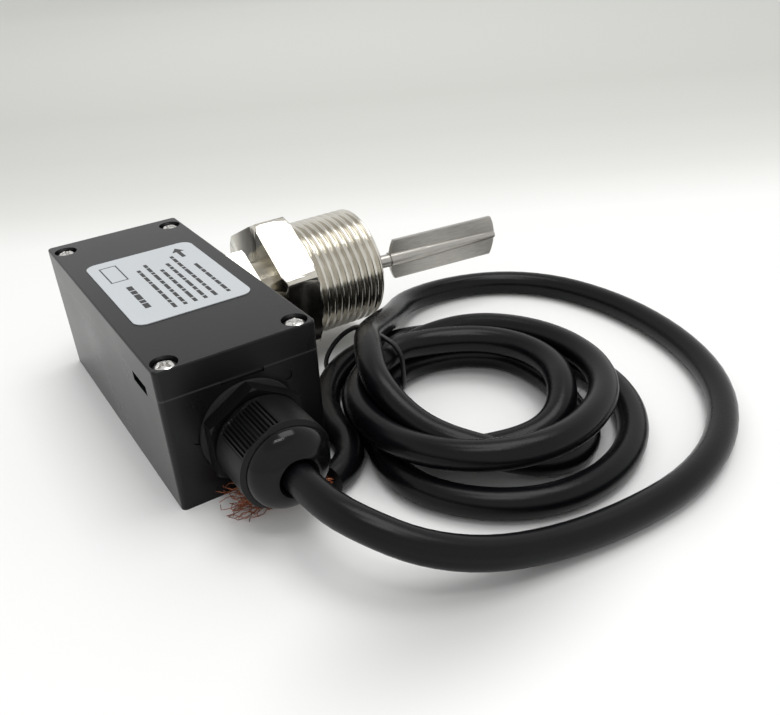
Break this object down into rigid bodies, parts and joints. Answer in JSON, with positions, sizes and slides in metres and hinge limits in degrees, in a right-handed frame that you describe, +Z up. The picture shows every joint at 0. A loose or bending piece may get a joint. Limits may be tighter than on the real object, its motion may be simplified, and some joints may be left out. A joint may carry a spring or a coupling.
{
  "type": "paddle flow switch",
  "caption": "Paddle flow switch: a screwed plastic housing with a side pipe fitting, a hinged paddle and a cable gland with its coiled cable.",
  "frame": {"origin": "centre of the housing's back face, on the surface it lies on", "axes": "+Z up through the lid, +X out along the pipe thread, -Y out along the cable gland"},
  "size_m": [0.1496, 0.1534, 0.0417],
  "materials": {
    "housing_black": "moulded satin black",
    "gland_black": "moulded black nylon",
    "label_grey": "pale grey film",
    "nickel_brass": "nickel plated brass",
    "stainless": "dull rolled stainless",
    "screw_nickel": "bright nickel",
    "magnet_dark": "coated magnet",
    "board_green": "circuit laminate",
    "reed_glass": "green glass",
    "terminal_grey": "grey polyamide",
    "seal_rubber": "black rubber",
    "cable_black": "satin black jacket",
    "core_insulation": "coloured core insulation",
    "copper": "bare copper",
    "tie_black": "coated wire tie"
  },
  "bodies": {
    "root": {"housing_base": "housing_black", "housing_lid": "housing_black", "lid_gasket": "seal_rubber", "lid_screws": "screw_nickel", "label_plate": "label_grey", "fitting_body": "nickel_brass", "neck_nut": "nickel_brass", "neck_washer": "nickel_brass", "inner_locknut": "nickel_brass", "pivot_pin": "stainless", "return_magnet": "magnet_dark", "reed_switch": "reed_glass", "circuit_board": "board_green", "board_screws": "screw_nickel", "terminal_block": "terminal_grey", "terminal_screws": "screw_nickel", "gland_washer": "seal_rubber", "gland_body": "gland_black", "gland_locknut": "gland_black", "gland_seal": "seal_rubber", "gland_cap": "gland_black", "cable_inner": "cable_black", "inner_conductors": "core_insulation", "cord_lead": "cable_black", "cord_coil": "cable_black", "cord_tail": "cable_black", "copper_strands": "copper", "twist_tie": "tie_black"},
    "paddle": {"lever_hub": "stainless", "paddle_rod": "stainless", "paddle_blade": "stainless", "lever_magnet": "magnet_dark"}
  },
  "joints": [
    {"name": "paddle_swing", "type": "hinge", "parent": "root", "child": "paddle", "pos_m": [0.024, 0.0089, 0.021], "axis": [0, 0, 1], "range_deg": [0, 12], "stiffness_Nm_per_rad": 0.02}
  ]
}
